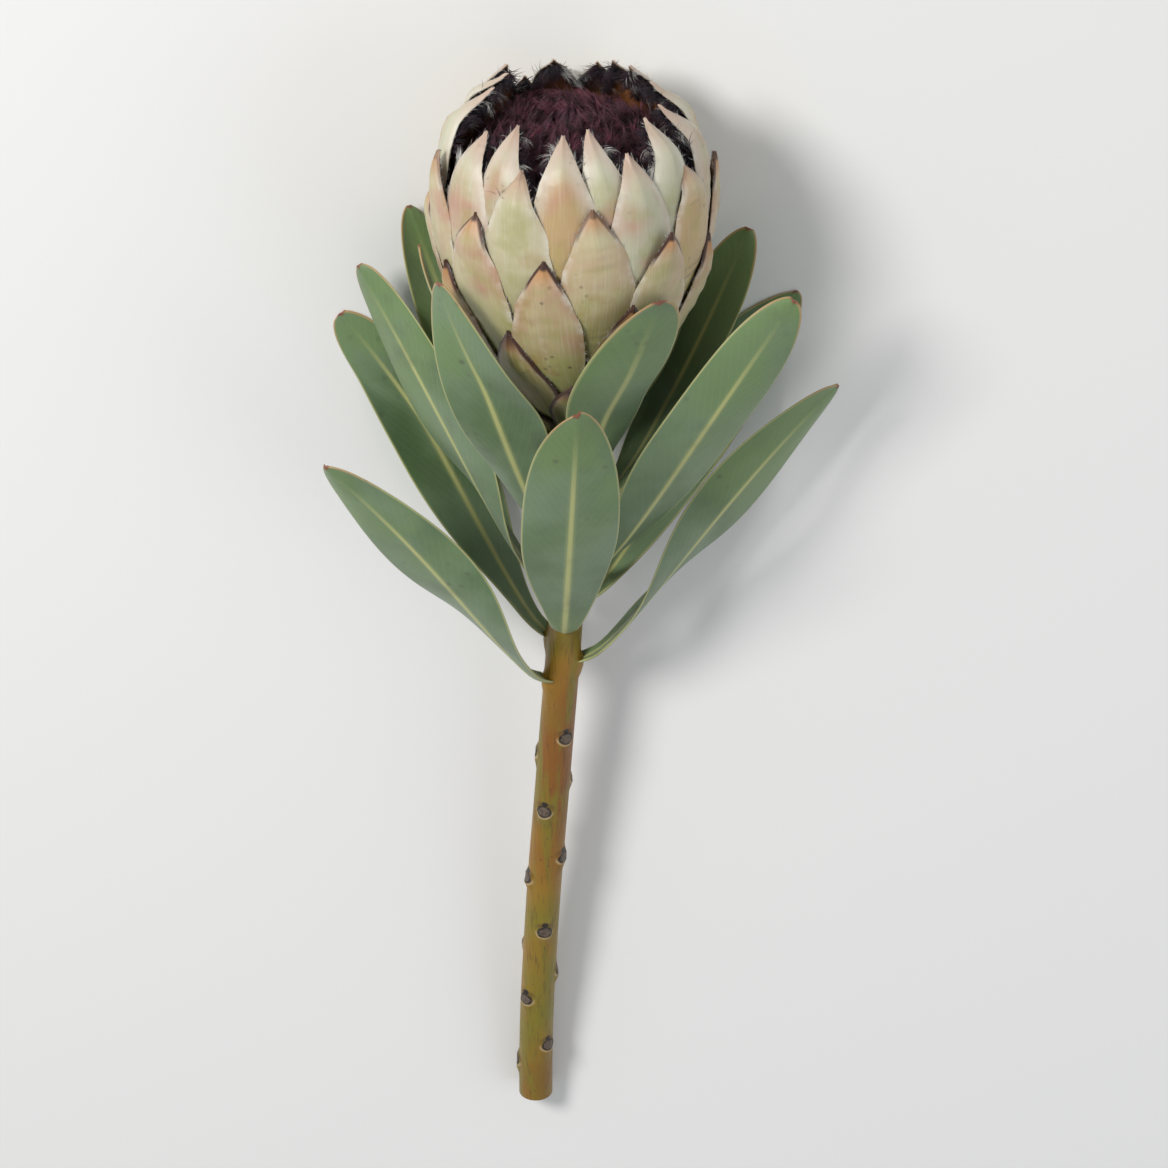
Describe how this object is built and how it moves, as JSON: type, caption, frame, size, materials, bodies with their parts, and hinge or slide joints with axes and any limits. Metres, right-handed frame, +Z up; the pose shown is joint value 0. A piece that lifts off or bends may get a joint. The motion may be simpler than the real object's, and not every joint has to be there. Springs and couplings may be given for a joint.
{
  "type": "queen protea cut stem",
  "caption": "Cut queen protea lying on its side: a goblet-shaped head of overlapping pale bracts round a dark woolly dome, on a leafy woody stem.",
  "frame": {"origin": "the flat spot under the flower head, where the head rests on the surface", "axes": "+Y runs along the stem towards the flower head, +Z is up from the surface, +X is to the right with the head away from the viewer"},
  "size_m": [0.1775, 0.4165, 0.1124],
  "materials": {
    "stem_bark": "smooth olive to orange-brown bark",
    "bract": "silky cream, blushed pink and tan",
    "flower_wool": "dense dark purple wool",
    "leaf": "waxy grey-green"
  },
  "bodies": {
    "root": {"stem": "stem_bark", "bracts": "bract", "flower_mass": "flower_wool", "leaf_01": "leaf", "leaf_02": "leaf", "leaf_03": "leaf", "leaf_04": "leaf", "leaf_05": "leaf", "leaf_06": "leaf", "leaf_07": "leaf", "leaf_08": "leaf", "leaf_09": "leaf", "leaf_10": "leaf", "leaf_11": "leaf", "leaf_12": "leaf", "leaf_13": "leaf", "leaf_14": "leaf"}
  },
  "joints": []
}
